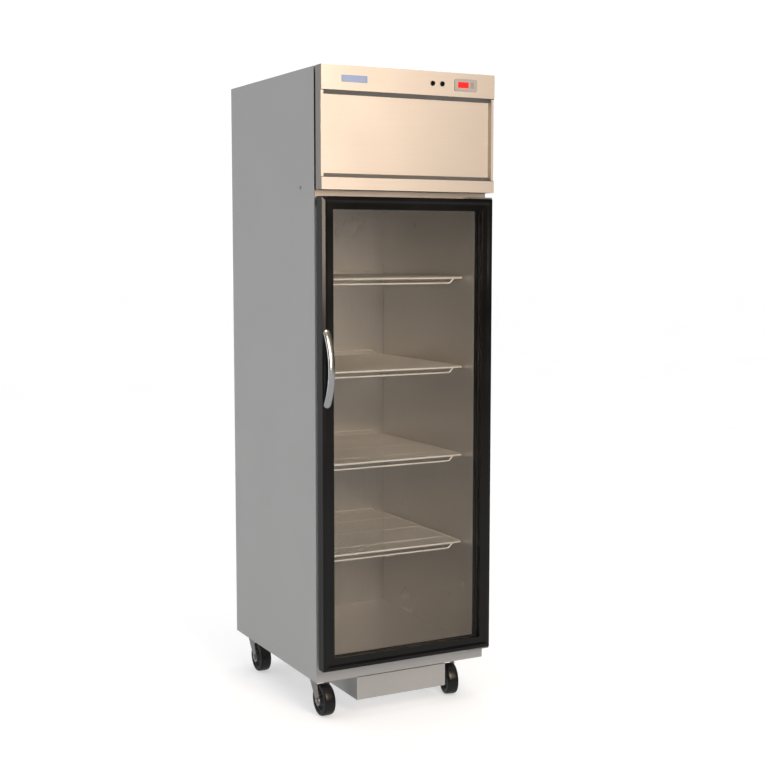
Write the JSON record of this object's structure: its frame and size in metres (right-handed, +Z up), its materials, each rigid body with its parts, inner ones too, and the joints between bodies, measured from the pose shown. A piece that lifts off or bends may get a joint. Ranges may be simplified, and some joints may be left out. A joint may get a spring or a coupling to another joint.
{
  "type": "proofing cabinet",
  "caption": "Tall upright proofing cabinet with a framed glass door, wire shelves, a recessed control hood with thermostat, an under-body drip tray and swivel casters.",
  "frame": {"origin": "on the floor under the middle of the overall bounding box", "axes": "+Z up; the door faces -Y; +X to the right seen from the front, towards the door hinge"},
  "size_m": [0.604, 0.77, 2.002],
  "materials": {
    "painted_grey": "satin powder coat, fine texture",
    "hood_steel": "warm satin stainless, brushed across",
    "liner_steel": "satin stainless, brushed upright",
    "foam": "rigid foam",
    "door_frame": "semi-gloss black",
    "gasket": "matte",
    "glass": "clear, slightly smoky",
    "spacer": "matte",
    "handle": "satin chrome",
    "wire": "bright zinc wire",
    "zinc": "zinc plated",
    "tyre": "smooth black rubber",
    "hub": "moulded grey",
    "bezel": "satin moulded grey",
    "display": "lit red window",
    "key": "soft keys",
    "button": "gloss black",
    "name_plate": "satin, blank",
    "motor": "satin",
    "fan": "bare sheet",
    "heater": "heat tinted",
    "gland": "moulded"
  },
  "bodies": {
    "cabinet": {"side_panel_left": "painted_grey", "side_panel_right": "painted_grey", "top_panel": "painted_grey", "back_panel": "painted_grey", "base_pan": "painted_grey", "ceiling_pan": "hood_steel", "front_stile_left": "painted_grey", "front_stile_right": "painted_grey", "liner_left": "liner_steel", "liner_right": "liner_steel", "liner_back": "liner_steel", "liner_floor": "liner_steel", "liner_ceiling": "liner_steel", "insulation": "foam", "air_plenum": "liner_steel", "fan_motor": "motor", "heater_element": "heater", "shelf_pegs": "zinc", "hinge_plates": "zinc", "hood_brackets": "zinc", "cable_gland": "gland", "tray_runners": "painted_grey", "caster_plates": "zinc", "screws": "zinc"},
    "hood": {"hood_shell": "hood_steel", "hood_panel": "hood_steel", "name_plate": "name_plate", "thermostat_case": "bezel", "thermostat_display": "display"},
    "key_up": {"key_up": "key"},
    "key_down": {"key_down": "key"},
    "button_left": {"button_left": "button"},
    "button_right": {"button_right": "button"},
    "door": {"door_rail_top": "door_frame", "door_rail_bottom": "door_frame", "door_rail_left": "door_frame", "door_rail_right": "door_frame", "door_glass_outer": "glass", "door_glass_inner": "glass", "glass_spacer": "spacer", "door_gasket": "gasket", "door_handle": "handle"},
    "tray": {"drip_tray": "painted_grey"},
    "fan": {"fan_wheel": "fan"},
    "shelf_1": {"shelf_1": "wire"},
    "shelf_2": {"shelf_2": "wire"},
    "shelf_3": {"shelf_3": "wire"},
    "shelf_4": {"shelf_4": "wire"},
    "fork_front_left": {"fork_front_left": "zinc"},
    "wheel_front_left": {"hub_front_left": "hub", "tyre_front_left": "tyre"},
    "fork_front_right": {"fork_front_right": "zinc"},
    "wheel_front_right": {"hub_front_right": "hub", "tyre_front_right": "tyre"},
    "fork_rear_left": {"fork_rear_left": "zinc"},
    "wheel_rear_left": {"hub_rear_left": "hub", "tyre_rear_left": "tyre"},
    "fork_rear_right": {"fork_rear_right": "zinc"},
    "wheel_rear_right": {"hub_rear_right": "hub", "tyre_rear_right": "tyre"}
  },
  "joints": [
    {"name": "door_hinge", "type": "hinge", "parent": "cabinet", "child": "door", "pos_m": [0.285, -0.328, 0.9], "axis": [0, 0, 1], "range_deg": [0, 110]},
    {"name": "hood_tilt", "type": "hinge", "parent": "cabinet", "child": "hood", "pos_m": [0, -0.3035, 1.995], "axis": [-1, 0, 0], "range_deg": [0, 70]},
    {"name": "button_left_press", "type": "slide", "parent": "hood", "child": "button_left", "axis": [0, 1, 0], "range_m": [0, 0.002], "stiffness_N_per_m": 400},
    {"name": "button_right_press", "type": "slide", "parent": "hood", "child": "button_right", "axis": [0, 1, 0], "range_m": [0, 0.002], "stiffness_N_per_m": 400},
    {"name": "key_up_press", "type": "slide", "parent": "hood", "child": "key_up", "axis": [0, 1, 0], "range_m": [0, 0.0006], "stiffness_N_per_m": 300},
    {"name": "key_down_press", "type": "slide", "parent": "hood", "child": "key_down", "axis": [0, 1, 0], "range_m": [0, 0.0006], "stiffness_N_per_m": 300},
    {"name": "tray_slide", "type": "slide", "parent": "cabinet", "child": "tray", "axis": [0, -1, 0], "range_m": [0, 0.36]},
    {"name": "fan_spin", "type": "hinge", "parent": "cabinet", "child": "fan", "pos_m": [0, 0.013, 1.68], "axis": [0, 0, 1], "continuous": true},
    {"name": "shelf_1_lift", "type": "slide", "parent": "cabinet", "child": "shelf_1", "axis": [0, 0, 1], "range_m": [0, 0.025]},
    {"name": "shelf_2_lift", "type": "slide", "parent": "cabinet", "child": "shelf_2", "axis": [0, 0, 1], "range_m": [0, 0.025]},
    {"name": "shelf_3_lift", "type": "slide", "parent": "cabinet", "child": "shelf_3", "axis": [0, 0, 1], "range_m": [0, 0.025]},
    {"name": "shelf_4_lift", "type": "slide", "parent": "cabinet", "child": "shelf_4", "axis": [0, 0, 1], "range_m": [0, 0.025]},
    {"name": "swivel_front_left", "type": "hinge", "parent": "cabinet", "child": "fork_front_left", "pos_m": [-0.25, -0.211, 0.11], "axis": [0, 0, 1], "continuous": true},
    {"name": "spin_front_left", "type": "hinge", "parent": "fork_front_left", "child": "wheel_front_left", "pos_m": [-0.25, -0.245, 0.05], "axis": [1, 0, 0], "continuous": true},
    {"name": "swivel_front_right", "type": "hinge", "parent": "cabinet", "child": "fork_front_right", "pos_m": [0.211, -0.211, 0.11], "axis": [0, 0, 1], "range_deg": [-13, 215]},
    {"name": "spin_front_right", "type": "hinge", "parent": "fork_front_right", "child": "wheel_front_right", "pos_m": [0.20451, -0.24438, 0.05], "axis": [0.9816, -0.1908, 0], "continuous": true},
    {"name": "swivel_rear_left", "type": "hinge", "parent": "cabinet", "child": "fork_rear_left", "pos_m": [-0.25, 0.304, 0.11], "axis": [0, 0, 1], "continuous": true},
    {"name": "spin_rear_left", "type": "hinge", "parent": "fork_rear_left", "child": "wheel_rear_left", "pos_m": [-0.25, 0.27, 0.05], "axis": [1, 0, 0], "continuous": true},
    {"name": "swivel_rear_right", "type": "hinge", "parent": "cabinet", "child": "fork_rear_right", "pos_m": [0.211, 0.304, 0.11], "axis": [0, 0, 1], "continuous": true},
    {"name": "spin_rear_right", "type": "hinge", "parent": "fork_rear_right", "child": "wheel_rear_right", "pos_m": [0.211, 0.27, 0.05], "axis": [1, 0, 0], "continuous": true}
  ]
}
